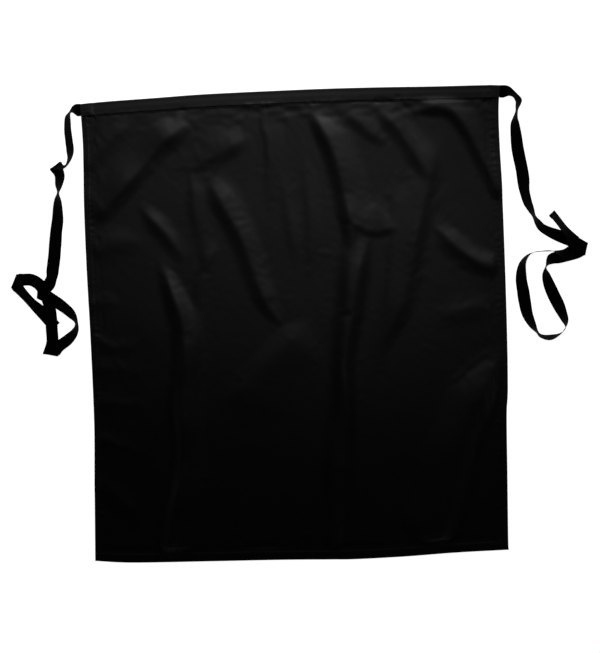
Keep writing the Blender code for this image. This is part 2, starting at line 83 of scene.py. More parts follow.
# Creases: crest line, height, width of its flank on the left of someone who walks along it, width on the
# right, and the lengths over which its two ends fade. A width may be a pair, for its start and its end.
CREASES = [
    ([(-0.180, 0.434), (-0.225, 0.399), (-0.265, 0.369), (-0.300, 0.329), (-0.335, 0.294), (-0.370, 0.259),
      (-0.415, 0.222)], 0.0085, 0.030, 0.060, 0.09, 0.04),
    ([(-0.300, 0.432), (-0.332, 0.411), (-0.367, 0.381), (-0.397, 0.351), (-0.418, 0.316)],
     0.0032, 0.022, 0.036, 0.06, 0.03),
    ([(-0.080, 0.382), (-0.101, 0.374), (-0.140, 0.358), (-0.177, 0.338), (-0.260, 0.322)],
     0.0050, 0.026, 0.060, 0.05, 0.13),
    ([(-0.312, 0.262), (-0.285, 0.222), (-0.262, 0.192), (-0.239, 0.155), (-0.218, 0.115)],
     0.0050, 0.032, 0.026, 0.07, 0.07),
    ([(-0.284, 0.160), (-0.264, 0.105), (-0.247, 0.060), (-0.235, 0.020), (-0.231, -0.030), (-0.234, -0.100),
      (-0.241, -0.200), (-0.247, -0.300), (-0.262, -0.370), (-0.280, -0.470)], 0.0135, (0.030, 0.080),
     (0.026, 0.032), 0.14, 0.06),
    ([(-0.140, 0.200), (-0.178, 0.120), (-0.195, 0.060), (-0.203, 0.000), (-0.206, -0.100)],
     0.0034, 0.032, 0.022, 0.08, 0.12),
    ([(-0.200, 0.330), (-0.196, 0.220), (-0.184, 0.165), (-0.185, 0.100)], 0.0028, 0.036, 0.016, 0.06, 0.05),
    ([(-0.180, 0.325), (-0.150, 0.264), (-0.127, 0.225), (-0.108, 0.185), (-0.093, 0.135), (-0.077, 0.085),
      (-0.058, 0.035), (-0.025, -0.010)], 0.0068, (0.050, 0.030), 0.028, 0.08, 0.09),
    ([(0.034, 0.014), (-0.026, -0.046), (-0.074, -0.094), (-0.108, -0.126), (-0.175, -0.155)],
     0.0052, 0.110, 0.046, 0.07, 0.09),
    ([(0.043, 0.448), (0.076, 0.375), (0.090, 0.315), (0.104, 0.250), (0.113, 0.195), (0.116, 0.120)],
     0.0095, (0.052, 0.075), 0.027, 0.08, 0.11),
    ([(0.108, 0.260), (0.113, 0.195), (0.109, 0.130), (0.103, 0.070), (0.093, 0.000), (0.083, -0.100),
      (0.073, -0.180), (0.064, -0.260), (0.060, -0.360), (0.056, -0.470)], 0.0085, (0.060, 0.026),
     (0.028, 0.032), 0.15, 0.06),
    ([(0.112, 0.206), (0.150, 0.183), (0.175, 0.181), (0.210, 0.188)], 0.0036, 0.100, 0.014, 0.04, 0.03),
    ([(0.100, 0.445), (0.143, 0.408), (0.163, 0.384), (0.194, 0.358)], 0.0036, 0.034, 0.018, 0.05, 0.04),
    ([(0.162, 0.443), (0.204, 0.398), (0.225, 0.368), (0.245, 0.335), (0.276, 0.270)],
     0.0052, 0.046, 0.024, 0.06, 0.07),
    ([(0.240, 0.414), (0.292, 0.425), (0.328, 0.416), (0.356, 0.378), (0.376, 0.338), (0.396, 0.297),
      (0.420, 0.235)], 0.0066, 0.044, 0.022, 0.05, 0.03),
    ([(0.300, 0.390), (0.276, 0.290), (0.261, 0.240), (0.246, 0.180), (0.231, 0.110), (0.211, 0.055),
      (0.186, -0.020), (0.150, -0.120)], 0.0075, 0.032, 0.060, 0.17, 0.18),
    ([(0.166, 0.215), (0.138, 0.125), (0.123, 0.075), (0.112, 0.020), (0.103, -0.030), (0.095, -0.100),
      (0.092, -0.200), (0.083, -0.300), (0.072, -0.400), (0.066, -0.470)], 0.0075, (0.024, 0.028),
     (0.040, 0.020), 0.12, 0.06),
    ([(0.268, 0.205), (0.315, 0.160), (0.345, 0.135), (0.375, 0.115), (0.418, 0.104)],
     0.0056, 0.036, 0.032, 0.08, 0.02),
    ([(0.255, 0.000), (0.330, 0.022), (0.400, 0.030)], 0.0022, 0.032, 0.040, 0.06, 0.04),
    ([(0.424, -0.040), (0.385, -0.115), (0.358, -0.165), (0.335, -0.220), (0.310, -0.290), (0.285, -0.370),
      (0.258, -0.470)], 0.0125, (0.040, 0.054), (0.060, 0.100), 0.16, 0.06),
    ([(-0.418, 0.158), (-0.360, 0.182), (-0.290, 0.168)], 0.0030, 0.036, 0.040, 0.02, 0.08),
    ([(-0.418, 0.050), (-0.385, 0.062), (-0.350, 0.046)], 0.0024, 0.022, 0.024, 0.01, 0.04),
    ([(-0.418, -0.010), (-0.372, -0.034), (-0.310, -0.010)], 0.0026, 0.022, 0.024, 0.02, 0.06),
    ([(-0.418, -0.074), (-0.372, -0.076), (-0.300, -0.092)], 0.0024, 0.024, 0.028, 0.02, 0.07),
    ([(-0.418, -0.138), (-0.372, -0.142), (-0.290, -0.156)], 0.0022, 0.024, 0.032, 0.02, 0.07),
    ([(-0.418, -0.205), (-0.372, -0.228), (-0.300, -0.268)], 0.0026, 0.026, 0.032, 0.02, 0.07),
    ([(-0.418, -0.290), (-0.372, -0.330), (-0.310, -0.395)], 0.0026, 0.028, 0.034, 0.02, 0.07),
    ([(-0.052, 0.440), (-0.050, 0.330), (-0.042, 0.200)], 0.0022, 0.050, 0.018, 0.06, 0.09),
    ([(-0.024, 0.310), (-0.010, 0.200), (0.004, 0.110)], 0.0018, 0.030, 0.016, 0.07, 0.07),
    ([(0.020, 0.350), (0.030, 0.220), (0.026, 0.080)], 0.0022, 0.034, 0.016, 0.08, 0.08),
    ([(0.208, 0.310), (0.200, 0.200), (0.190, 0.100), (0.168, -0.020)], 0.0022, 0.034, 0.016, 0.08, 0.10),
]
WAVE, WAVE_LENGTH = 0.0018, 0.16  # of the cloth between the creases
EDGE_FADE = 0.05  # how gradually the waves start at every edge, and the creases at the bottom hem
WANDER = 0.004  # how far a crease strays from its smooth line
STEEP_FLANK = 0.034  # a flank narrower than this falls at once from its crest, and a wider one starts level
SETTLE_ROWS, SETTLE_COLUMNS = 136, 121  # of the cloth that is simulated
SETTLE_REST = 0.0015  # how far above its place it starts, and the distance it keeps from the floor
SETTLE_HOLD = 0.3  # how firmly it is held where it isn't at an edge, of 1
SETTLE_PULL = 2.5  # stiffness of that hold
SETTLE_SPARE = 0.008  # more cloth than its outline has room for, as a share
SETTLE_FRAMES = 24  # one second
PUCKER = 0.0008  # height of the puckers where a row of stitches gathers the cloth
PUCKER_PLACE, PUCKER_SPREAD = 0.003, 0.007  # past the hem or waistband
SIDE_PUCKER_PITCH, BAND_PUCKER_PITCH, BOTTOM_PUCKER_PITCH = 0.0115, 0.0095, 0.0125
HEM_CLIMB, BAND_CLIMB, TAIL_CLIMB = 0.004, 0.006, 0.008  # how gradually a ply climbs onto what is under it

# The ties' routes, repeated from the CAD: ("lie", x, y, tilt in degrees, height of the lower edge), and
# ("fold", x, y, tilt, height, direction of the crease in degrees).
LEFT_TIE = [
    ("lie", -0.4242, 0.4480, 0, 0.0018), ("lie", -0.4290, 0.4480, 3, 0.0016),
    ("lie", -0.4350, 0.4476, 36, 0.0), ("lie", -0.4418, 0.4436, 70, 0.0), ("lie", -0.4472, 0.435, 58, 0.0),
    ("lie", -0.4483, 0.426, 52, 0.0), ("lie", -0.4485, 0.407, 48, 0.0),
    ("lie", -0.447, 0.389, 46, 0.0), ("lie", -0.445, 0.366, 46, 0.0), ("lie", -0.447, 0.349, 62, 0.0),
    ("lie", -0.457, 0.334, 70, 0.0), ("fold", -0.476, 0.337, 40, 0.0, 42),
    ("lie", -0.468, 0.316, 46, 0.0), ("lie", -0.470, 0.296, 66, 0.0), ("lie", -0.4714, 0.282, 90, 0.0),
    ("lie", -0.4725, 0.268, 67, 0.0), ("lie", -0.4735, 0.252, 50, 0.0), ("lie", -0.475, 0.228, 34, 0.0),
    ("lie", -0.479, 0.204, 25, 0.0), ("lie", -0.482, 0.178, 20, 0.0), ("lie", -0.485, 0.154, 12, 0.0),
    ("lie", -0.489, 0.128, 12, 0.0), ("lie", -0.491, 0.111, 40, 0.0), ("lie", -0.500, 0.096, 8, 0.0),
    ("fold", -0.521, 0.086, 0, 0.0, 84), ("lie", -0.497, 0.072, 10, 0.002),
    ("lie", -0.473, 0.055, 25, 0.0), ("lie", -0.454, 0.038, 38, 0.0), ("lie", -0.4435, 0.020, 68, 0.0),
    ("lie", -0.447, 0.003, 50, 0.0), ("lie", -0.462, -0.013, 25, 0.0), ("lie", -0.482, -0.027, 15, 0.0),
    ("fold", -0.4995, -0.043, 0, 0.0, -12), ("lie", -0.494, -0.017, 8, 0.003),
    ("lie", -0.494, 0.007, 8, 0.0055), ("lie", -0.4945, 0.031, 10, 0.006),
    ("lie", -0.497, 0.055, 12, 0.0065), ("lie", -0.504, 0.078, 12, 0.0068),
    ("lie", -0.515, 0.098, 14, 0.0055), ("lie", -0.532, 0.109, 12, 0.001), ("lie", -0.550, 0.110, 8, 0.0),
    ("fold", -0.568, 0.108, 0, 0.0, 65), ("lie", -0.555, 0.089, 30, 0.0),
    ("lie", -0.5325, 0.063, 36, 0.0), ("lie", -0.5095, 0.039, 9, 0.0), ("lie", -0.488, 0.013, 3, 0.0018)]
RIGHT_TIE = [
    ("lie", 0.4242, 0.4575, 0, 0.0018), ("lie", 0.4295, 0.4574, 2, 0.0016),
    ("lie", 0.4365, 0.4560, 34, 0.0), ("lie", 0.4440, 0.4530, 64, 0.0), ("lie", 0.4520, 0.4470, 76, 0.0),
    ("lie", 0.4590, 0.4366, 68, 0.0), ("lie", 0.4574, 0.4276, 74, 0.0), ("lie", 0.4541, 0.4158, 86, 0.0),
    ("lie", 0.4504, 0.4009, 73, 0.0), ("lie", 0.450, 0.391, 55, 0.0),
    ("lie", 0.452, 0.368, 34, 0.0), ("lie", 0.454, 0.345, 23, 0.0), ("lie", 0.458, 0.323, 10, 0.0),
    ("lie", 0.462, 0.300, 5, 0.0), ("lie", 0.464, 0.278, 20, 0.0), ("lie", 0.465, 0.256, 43, 0.0),
    ("lie", 0.470, 0.233, 54, 0.0), ("lie", 0.4765, 0.217, 68, 0.0), ("lie", 0.4823, 0.203, 83, 0.0),
    ("lie", 0.489, 0.191, 68, 0.0), ("lie", 0.4975, 0.180, 57, 0.0), ("lie", 0.515, 0.170, 42, 0.0),
    ("lie", 0.536, 0.161, 18, 0.0), ("lie", 0.5595, 0.151, 3, 0.0), ("fold", 0.5865, 0.1345, 0, 0.0, 76),
    ("lie", 0.560, 0.126, 5, 0.0016), ("lie", 0.533, 0.120, 8, 0.001), ("lie", 0.514, 0.116, 32, 0.0),
    ("lie", 0.503, 0.102, 78, 0.0), ("lie", 0.503, 0.086, 43, 0.0), ("lie", 0.508, 0.068, 20, 0.0),
    ("lie", 0.517, 0.046, 2, 0.0), ("lie", 0.526, 0.026, 5, 0.0), ("lie", 0.533, 0.007, 30, 0.0),
    ("lie", 0.538, -0.009, 50, 0.0), ("lie", 0.537, -0.024, 83, 0.0), ("lie", 0.526, -0.035, 78, 0.0),
    ("lie", 0.508, -0.041, 63, 0.0), ("lie", 0.490, -0.038, 75, 0.0), ("lie", 0.481, -0.030, 86, 0.0),
    ("lie", 0.472, -0.015, 62, 0.0), ("lie", 0.463, 0.007, 38, 0.0), ("lie", 0.459, 0.032, 16, 0.0),
    ("lie", 0.456, 0.056, 22, 0.0), ("lie", 0.453, 0.078, 33, 0.0), ("lie", 0.454, 0.101, 56, 0.0),
    ("lie", 0.460, 0.117, 74, 0.0), ("lie", 0.473, 0.129, 88, 0.0), ("lie", 0.494, 0.1325, 90, 0.001),
    ("lie", 0.518, 0.1315, 85, 0.004), ("lie", 0.542, 0.125, 30, 0.0055),
    ("fold", 0.567, 0.138, 0, 0.0050, 72), ("lie", 0.558, 0.156, 22, 0.006),
    ("lie", 0.543, 0.175, 45, 0.0035), ("lie", 0.530, 0.194, 48, 0.0), ("lie", 0.518, 0.209, 45, 0.0021)]


# ---------------------------------------------------------------- camera, light and floor

FRAME_HEIGHT_M = 1.3164  # what the picture spans from top to bottom, on the floor
CAMERA_HEIGHT = 3.2
CAMERA_CENTRE = (0.0050, -0.0025)
CAMERA_ROLL = math.radians(-1.9)
LIGHT_PLACE = (0.45, 2.30, 1.45)  # of both lights, beyond the waistband
KEY_SIZE, KEY_POWER = (1.0, 0.5), 10.0
SPOT_RADIUS, SPOT_BEAM, SPOT_BREADTH, SPOT_POWER = 0.10, math.radians(11.0), 3.0, 88.0
SPOT_TARGET = (-0.06, 0.25, 0.0)
WORLD_STRENGTH = 0.006
FLOOR_HALF_SIDE, FLOOR_WHITE, FLOOR_GLOW = 12.0, 0.9, 1.0


def make_camera():
    data = bpy.data.cameras.new("camera")
    data.sensor_width = 36.0
    data.sensor_fit = "AUTO"
    data.lens = 36.0 * CAMERA_HEIGHT / FRAME_HEIGHT_M
    data.clip_start, data.clip_end = 0.05, 60.0
    camera = bpy.data.objects.new("camera", data)
    camera.location = (*CAMERA_CENTRE, CAMERA_HEIGHT)
    camera.rotation_euler = (0.0, 0.0, CAMERA_ROLL)
    bpy.context.scene.collection.objects.link(camera)
    bpy.context.scene.camera = camera


def aimed_light(data, place, target, breadth=1.0):
    """A light at a place, aimed at a target and stretched sideways by the breadth."""
    light = bpy.data.objects.new(data.name, data)
    light.location = place
    light.scale = (breadth, 1.0, 1.0)
    away = np.array(place) - np.array(target)
    light.rotation_euler = (math.atan2(math.hypot(away[0], away[1]), away[2]), 0.0,
                            math.atan2(away[0], -away[1]))
    bpy.context.scene.collection.objects.link(light)


def make_light():
    """A low soft light beyond the waistband, and a broad soft spot from the same place on the upper half."""
    key = bpy.data.lights.new("key_light", "AREA")
    key.shape = "RECTANGLE"
    key.size, key.size_y = KEY_SIZE
    key.energy = KEY_POWER
    aimed_light(key, LIGHT_PLACE, (0.0, 0.0, 0.0))
    spot = bpy.data.lights.new("upper_spot", "SPOT")
    spot.shadow_soft_size = SPOT_RADIUS
    spot.spot_size, spot.spot_blend = SPOT_BEAM, 1.0
    spot.energy = SPOT_POWER
    aimed_light(spot, LIGHT_PLACE, SPOT_TARGET, SPOT_BREADTH)
    world = bpy.data.worlds.new("studio")
    world.use_nodes = True
    back = world.node_tree.nodes["Background"]
    back.inputs["Color"].default_value = (1.0, 1.0, 1.0, 1.0)
    back.inputs["Strength"].default_value = WORLD_STRENGTH
    bpy.context.scene.world = world
    bpy.context.scene.view_settings.view_transform = "Standard"


def make_floor():
    """A pale floor that glows, like a light table, so that it stays white under a low light."""
    mesh = bpy.data.meshes.new("floor")
    side = FLOOR_HALF_SIDE
    corners = [(-side, -side, 0), (side, -side, 0), (side, side, 0), (-side, side, 0)]
    mesh.from_pydata(corners, [], [(0, 1, 2, 3)])
    floor = bpy.data.objects.new("floor", mesh)
    bpy.context.scene.collection.objects.link(floor)
    material = bpy.data.materials.new("floor")
    material.use_nodes = True
    shader = material.node_tree.nodes["Principled BSDF"]
    shader.inputs["Base Color"].default_value = (FLOOR_WHITE, FLOOR_WHITE, FLOOR_WHITE, 1.0)
    shader.inputs["Roughness"].default_value = 0.9
    shader.inputs["Emission Color"].default_value = (1.0, 1.0, 1.0, 1.0)
    shader.inputs["Emission Strength"].default_value = FLOOR_GLOW
    mesh.materials.append(material)


# ---------------------------------------------------------------- materials

def new_material(name):
    material = bpy.data.materials.new(name)
    material.use_nodes = True
    tree = material.node_tree
    return material, tree, tree.nodes["Principled BSDF"]


def node(tree, kind, **values):
    made = tree.nodes.new(kind)
    for key, value in values.items():
        setattr(made, key, value)
    return made


def ramp_between(tree, source, low, high):
    """A value from 0..1 spread between two colours."""
    mix = node(tree, "ShaderNodeMix", data_type="RGBA")
    mix.inputs["A"].default_value = (*low, 1.0)
    mix.inputs["B"].default_value = (*high, 1.0)
    tree.links.new(source, mix.inputs["Factor"])
    return mix.outputs["Result"]


def weave_material(name, low, high, roughness, sheen, twill_scale, height, gloss=0.5):
    """Black woven cloth: a diagonal rib, slubs of uneven yarn, a broad unevenness of the dye, faint sheen."""
    material, tree, shader = new_material(name)
    shader.inputs["Roughness"].default_value = roughness
    shader.inputs["Specular IOR Level"].default_value = gloss
    shader.inputs["Sheen Weight"].default_value = sheen
    shader.inputs["Sheen Roughness"].default_value = 0.45
    shader.inputs["Sheen Tint"].default_value = (0.75, 0.8, 0.95, 1.0)

    place = node(tree, "ShaderNodeAttribute", attribute_name="weave")
    rib = node(tree, "ShaderNodeTexWave", wave_type="BANDS", bands_direction="DIAGONAL", wave_profile="SIN")
    rib.inputs["Scale"].default_value = twill_scale
    rib.inputs["Distortion"].default_value = 0.6
    rib.inputs["Detail"].default_value = 1.0
    rib.inputs["Detail Scale"].default_value = 0.4
    tree.links.new(place.outputs["Vector"], rib.inputs["Vector"])

    slub = node(tree, "ShaderNodeTexNoise")
    slub.inputs["Scale"].default_value = 420.0
    slub.inputs["Detail"].default_value = 3.0
    stretch = node(tree, "ShaderNodeMapping")
    stretch.inputs["Scale"].default_value = (1.0, 0.22, 1.0)
    tree.links.new(place.outputs["Vector"], stretch.inputs["Vector"])
    tree.links.new(stretch.outputs["Vector"], slub.inputs["Vector"])

    dye = node(tree, "ShaderNodeTexNoise")
    dye.inputs["Scale"].default_value = 14.0
    dye.inputs["Detail"].default_value = 5.0
    tree.links.new(place.outputs["Vector"], dye.inputs["Vector"])

    shade = node(tree, "ShaderNodeMath", operation="MULTIPLY_ADD")
    tree.links.new(slub.outputs["Fac"], shade.inputs[0])
    shade.inputs[1].default_value = 0.55
    half_dye = node(tree, "ShaderNodeMath", operation="MULTIPLY")
    tree.links.new(dye.outputs["Fac"], half_dye.inputs[0])
    half_dye.inputs[1].default_value = 0.45
    tree.links.new(half_dye.outputs[0], shade.inputs[2])
    tree.links.new(ramp_between(tree, shade.outputs[0], low, high), shader.inputs["Base Color"])

    relief = node(tree, "ShaderNodeMath", operation="MULTIPLY_ADD")
    tree.links.new(rib.outputs["Fac"], relief.inputs[0])
    relief.inputs[1].default_value = 0.6
    tree.links.new(slub.outputs["Fac"], relief.inputs[2])
    bump = node(tree, "ShaderNodeBump")
    bump.inputs["Strength"].default_value = 0.5
    bump.inputs["Distance"].default_value = height
    tree.links.new(relief.outputs[0], bump.inputs["Height"])
    tree.links.new(bump.outputs["Normal"], shader.inputs["Normal"])
    return material


def make_materials():
    return {
        "cloth": weave_material("black_twill", (0.0030, 0.0030, 0.0034), (0.0065, 0.0065, 0.0073), 0.56, 0.05,
                                520.0, 0.00012),
        # The waistband's twill is the cloth's twill with a darker base colour: painted shade for its weaker
        # sheen.
        "band": weave_material("black_twill_band_painted_shade", (0.0025, 0.0025, 0.0028), (0.0052, 0.0052, 0.0058), 0.58,
                               0.05, 520.0, 0.00012),
        "tape": weave_material("black_tape", (0.0012, 0.0012, 0.0013), (0.0026, 0.0026, 0.0029), 0.85, 0.01,
                               700.0, 0.00012, 0.04),
        "thread": weave_material("black_thread", (0.012, 0.012, 0.013), (0.022, 0.022, 0.024), 0.55, 0.1,
                                 900.0, 0.00005),
    }


# ---------------------------------------------------------------- shapes shared by all the plies

def smoothstep(t):
    t = np.clip(t, 0.0, 1.0)
    return t * t * (3.0 - 2.0 * t)


def curve_through(points, steps):
    """A smooth curve through the points, with so many steps between one point and the next."""
    p = np.array(points, float)
    p = np.concatenate([[2 * p[0] - p[1]], p, [2 * p[-1] - p[-2]]])
    t = (np.arange(steps) / steps)[:, None]
    runs = []
    for k in range(1, len(p) - 2):
        a, b, c, d = p[k - 1 : k + 3]
        bend = (2 * a - 5 * b + 4 * c - d) * t**2
        swing = (3 * b - a - 3 * c + d) * t**3
        runs.append(0.5 * (2 * b + (c - a) * t + bend + swing))
    return np.concatenate(runs + [p[-2:-1]])


def edge_line(start, end, bow, shares):
    """Points of one edge of the outline, at shares of its length. The bow is to the left of start-to-end."""
    start, end = np.array(start), np.array(end)
    along = end - start
    left = np.array([-along[1], along[0]]) / np.linalg.norm(along)
    shape = curve_through(bow, 8)
    out = np.interp(shares, shape[:, 0], shape[:, 1])
    return start + shares[:, None] * along + out[:, None] * left


def cloth_plan(us, vs):
    """(x, y) of the cloth at shares us of its width and vs of its height, from the waistband down."""
    tl, tr = np.array(CORNERS["top_left"]), np.array(CORNERS["top_right"])
    bl, br = np.array(CORNERS["bottom_left"]), np.array(CORNERS["bottom_right"])
    top = edge_line(tl, tr, TOP_BOW, us)[None, :, :]
    bottom = edge_line(bl, br, [(share, -bow) for share, bow in BOTTOM_BOW], us)[None, :, :]
    left = edge_line(tl, bl, [(share, -bow) for share, bow in LEFT_BOW], vs)[:, None, :]
    right = edge_line(tr, br, RIGHT_BOW, vs)[:, None, :]
    u, v = us[None, :, None], vs[:, None, None]
    corners = (1 - u) * (1 - v) * tl + u * (1 - v) * tr + (1 - u) * v * bl + u * v * br
    return (1 - v) * top + v * bottom + (1 - u) * left + u * right - corners


def waves(xy, wavelength, seed, count=10):
    """A smooth uneven pattern of about -1..1: plane waves of near wavelengths in all directions."""
    draw = random.Random(seed)
    total = np.zeros(xy.shape[:-1])
    for _ in range(count):
        turn = draw.uniform(0.0, 2.0 * math.pi)
        rate = 2.0 * math.pi / (wavelength * draw.uniform(0.75, 1.4))
        phase = draw.uniform(0.0, 2.0 * math.pi)
        total += np.cos(rate * (math.cos(turn) * xy[..., 0] + math.sin(turn) * xy[..., 1]) + phase)
    return total / math.sqrt(count)


def width_along(width, share):
    start, end = width if isinstance(width, tuple) else (width, width)
    return start + (end - start) * share


def crease_height(plan):
    """How far the creases lift the cloth at these points."""
    strays = [WANDER * waves(plan, 0.24, seed) for seed in (1, 2)]
    xy = plan + np.stack(strays, axis=-1)
    height = np.zeros(xy.shape[:-1])
    for number, (line, rise, left_flank, right_flank, fade_in, fade_out) in enumerate(CREASES):
        crest = curve_through(line, 4)
        reach = max(np.max(left_flank), np.max(right_flank))
        low, high = crest.min(axis=0) - reach, crest.max(axis=0) + reach
        inside = ((xy >= low) & (xy <= high)).all(axis=-1)
        spot = xy[inside]
        steps = np.diff(crest, axis=0)
        lengths = np.linalg.norm(steps, axis=1)
        starts = np.concatenate([[0.0], np.cumsum(lengths)])
        nearest = np.full(len(spot), np.inf)
        side, along = np.zeros(len(spot)), np.zeros(len(spot))
        for corner, step, length, start in zip(crest, steps, lengths, starts):
            offset = spot - corner
            share = np.clip((offset @ step) / length**2, 0.0, 1.0)
            away = offset - share[:, None] * step
            distance = np.linalg.norm(away, axis=1)
            closer = distance < nearest
            nearest = np.where(closer, distance, nearest)
            side = np.where(closer, step[0] * away[:, 1] - step[1] * away[:, 0], side)
            along = np.where(closer, start + share * length, along)
        ends = smoothstep(along / fade_in) * smoothstep((starts[-1] - along) / fade_out)
        share = along / starts[-1]
        width = np.where(side > 0, width_along(left_flank, share), width_along(right_flank, share))
        reach = np.minimum(nearest / (width * (0.5 + 0.5 * ends)), 1.0)
        steep = width < STEEP_FLANK
        profile = (1.0 - reach) ** 2 * (1.0 + np.where(steep, 1.1, 2.0) * reach)
        uneven = 1.0 + 0.09 * waves(spot, 0.12, 10 + number, 6)
        height[inside] += rise * profile * ends * uneven
    return height


def softened(height, rounds):
    """The height with each point drawn to its neighbours, which rounds the crests."""
    for _ in range(rounds):
        for axis in (0, 1):
            padded = np.pad(height, [(1, 1) if axis == k else (0, 0) for k in (0, 1)], mode="edge")
            before = padded[:-2] if axis == 0 else padded[:, :-2]
            after = padded[2:] if axis == 0 else padded[:, 2:]
            height = 0.5 * height + 0.25 * (before + after)
    return height


def lines_through(keys, length, cells):
    """Shares of the length at all the key distances, with even cells of about the given size between two."""
    lines = [keys[0]]
    for start, end, cell in zip(keys, keys[1:], cells):
        lines += list(np.linspace(start, end, max(1, round((end - start) / cell)) + 1)[1:])
    return np.array(lines) / length


FINE_MARGIN, FINE_TOP_MARGIN = 0.03, 0.033  # from an edge, and from the top, within which the mesh is fine
U_KEYS = [0.0, BAND_END_INSET, SIDE_HEM - STITCH_INSET, SIDE_HEM, TIE_TAIL, FINE_MARGIN]
U_KEYS = U_KEYS + [WIDTH - key for key in reversed(U_KEYS)]
V_KEYS = [0.0, STITCH_INSET, SEAM_ALLOWANCE, BAND_HEIGHT - STITCH_INSET, BAND_HEIGHT, FINE_TOP_MARGIN,
          HEIGHT - FINE_MARGIN, HEIGHT - BOTTOM_HEM, HEIGHT - BOTTOM_HEM + STITCH_INSET, HEIGHT]
U_LINES = lines_through(U_KEYS, WIDTH, [FINE_CELL] * 5 + [CELL] + [FINE_CELL] * 5)
V_LINES = lines_through(V_KEYS, HEIGHT, [FINE_CELL] * 5 + [CELL] + [FINE_CELL] * 3)


def line_at(lines, length, distance):
    return int(np.argmin(abs(lines * length - distance)))


V_TOP = line_at(V_LINES, HEIGHT, STITCH_INSET)
V_ALLOWANCE = line_at(V_LINES, HEIGHT, SEAM_ALLOWANCE)
V_SEAM = line_at(V_LINES, HEIGHT, BAND_HEIGHT - STITCH_INSET)
V_BAND = line_at(V_LINES, HEIGHT, BAND_HEIGHT)
V_HEM = line_at(V_LINES, HEIGHT, HEIGHT - BOTTOM_HEM)
V_HEM_ROW = line_at(V_LINES, HEIGHT, HEIGHT - BOTTOM_HEM + STITCH_INSET)
U_END = line_at(U_LINES, WIDTH, BAND_END_INSET)
U_HEM_ROW = line_at(U_LINES, WIDTH, SIDE_HEM - STITCH_INSET)
U_HEM = line_at(U_LINES, WIDTH, SIDE_HEM)
U_TAIL = line_at(U_LINES, WIDTH, TIE_TAIL)


def cloth_points():
    """The cloth's underside: creases, a broad unevenness between them, and puckers along the sewn rows."""
    plan = cloth_plan(U_LINES, V_LINES)
    height = crease_height(plan)
    side = from_edge(U_LINES, WIDTH)[None, :]
    down = (V_LINES * HEIGHT)[:, None]
    inner = smoothstep(side / EDGE_FADE) * smoothstep((down - 0.02) / EDGE_FADE)
    inner = inner * smoothstep((HEIGHT - down) / EDGE_FADE)
    wave = 0.5 + 0.5 * np.tanh(waves(plan, WAVE_LENGTH, 31) * 0.9)
    height = height + WAVE * wave * inner
    below_band = smoothstep((down - BAND_HEIGHT + 0.010) / 0.022)
    height = height * below_band * smoothstep((HEIGHT - down) / EDGE_FADE + 0.25)
    height = softened(height, 3)
    rows_of_puckers = (
        (side - SIDE_HEM, plan[..., 1], SIDE_PUCKER_PITCH, 41),
        (down - BAND_HEIGHT, plan[..., 0], BAND_PUCKER_PITCH, 42),
        (HEIGHT - down - BOTTOM_HEM, plan[..., 0], BOTTOM_PUCKER_PITCH, 43),
    )
    for past_row, along, pitch, seed in rows_of_puckers:
        nearness = np.exp(-(((past_row - PUCKER_PLACE) / PUCKER_SPREAD) ** 2))
        drift = 0.004 * waves(plan, 0.05, seed)
        ripple = 0.5 + 0.5 * np.sin(2.0 * math.pi * (along + drift) / pitch)
        strength = np.clip(0.55 + 0.6 * waves(plan, 0.11, seed + 10), 0.0, 1.4)
        height = height + PUCKER * nearness * ripple * strength
    return np.concatenate([plan, height[..., None]], axis=-1)


def resampled(values, from_v, from_u, to_v, to_u):
    """A grid of values on other lines, by straight interpolation along one direction and then the other."""
    across = np.array([np.interp(to_u, from_u, row) for row in values])
    return np.array([np.interp(to_v, from_v, column) for column in across.T]).T


